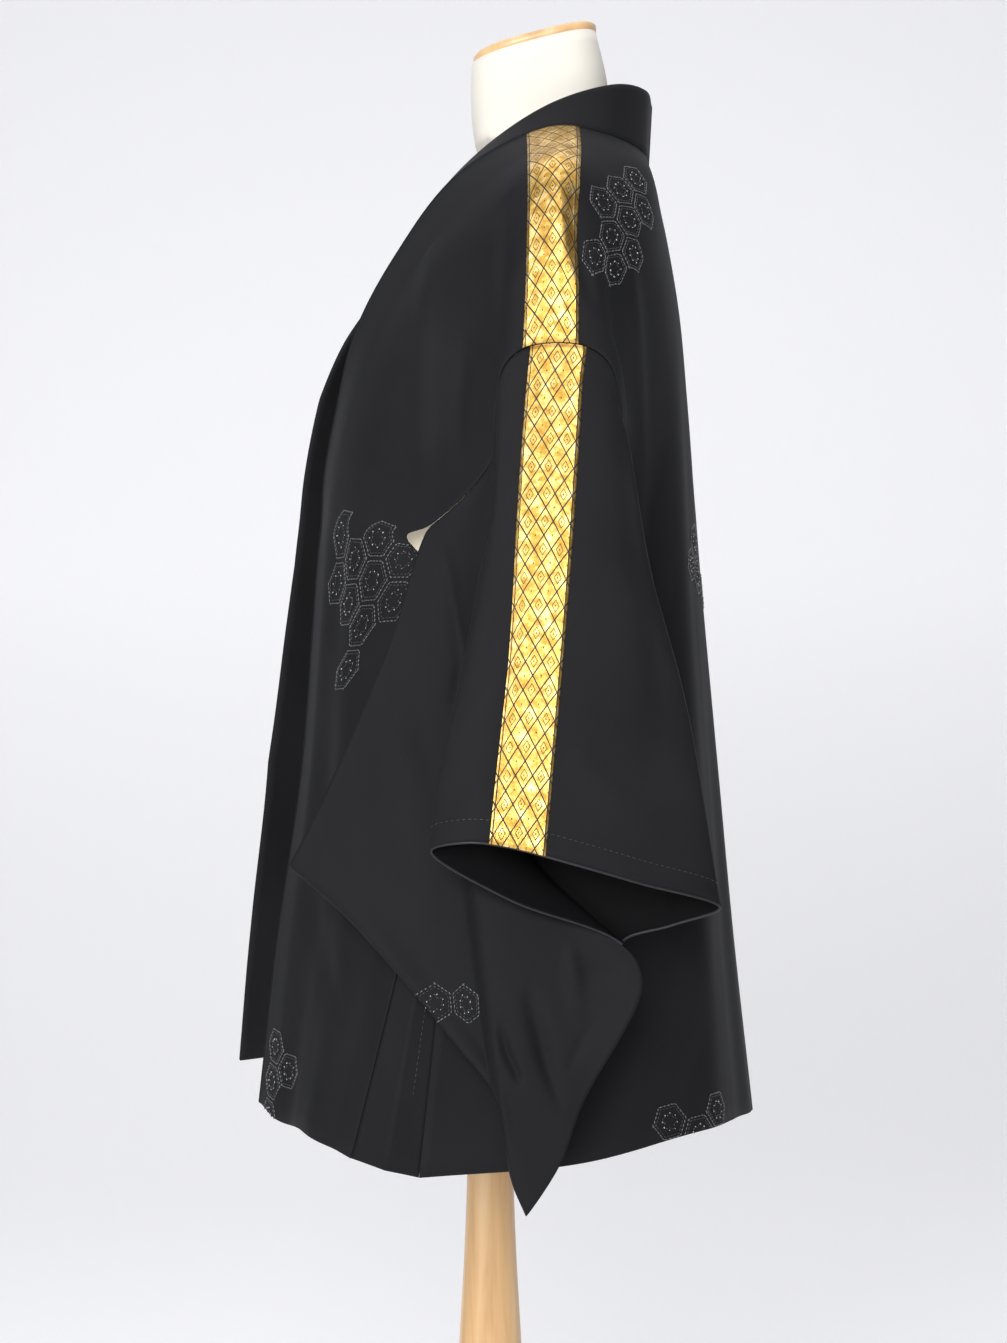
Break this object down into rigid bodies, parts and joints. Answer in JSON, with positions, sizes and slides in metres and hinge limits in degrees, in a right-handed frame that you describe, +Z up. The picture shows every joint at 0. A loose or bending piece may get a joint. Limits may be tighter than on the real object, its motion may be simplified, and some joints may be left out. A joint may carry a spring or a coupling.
{
  "type": "kimono jacket (haori) on a limbless dress form with stand",
  "caption": "Black satin kimono jacket with a gold brocade ribbon down each sleeve, hanging open on a limbless cream dress form with a turned wooden stand",
  "frame": {"origin": "centre of the stand base's underside, on the floor and on the post's axis", "axes": "+X towards the wearer's left, -Y towards the front, +Z up along the post"},
  "size_m": [0.5276, 0.4324, 1.4953],
  "materials": {
    "satin": "black satin with a soft sheen, padded and sewn",
    "brocade": "gold metal-thread brocade woven with small lozenges",
    "linen": "cream linen stretched smooth over the form",
    "beech": "light turned wood, satin varnish"
  },
  "bodies": {
    "root": {"body_left": "satin", "body_right": "satin", "gusset_left": "satin", "gusset_right": "satin", "collar": "satin", "sleeve_left": "satin", "sleeve_right": "satin", "ribbon_body_left": "brocade", "ribbon_sleeve_left": "brocade", "ribbon_body_right": "brocade", "ribbon_sleeve_right": "brocade", "form_torso": "linen", "form_neck_cap": "beech", "stand_post": "beech", "stand_base": "beech"}
  },
  "joints": []
}
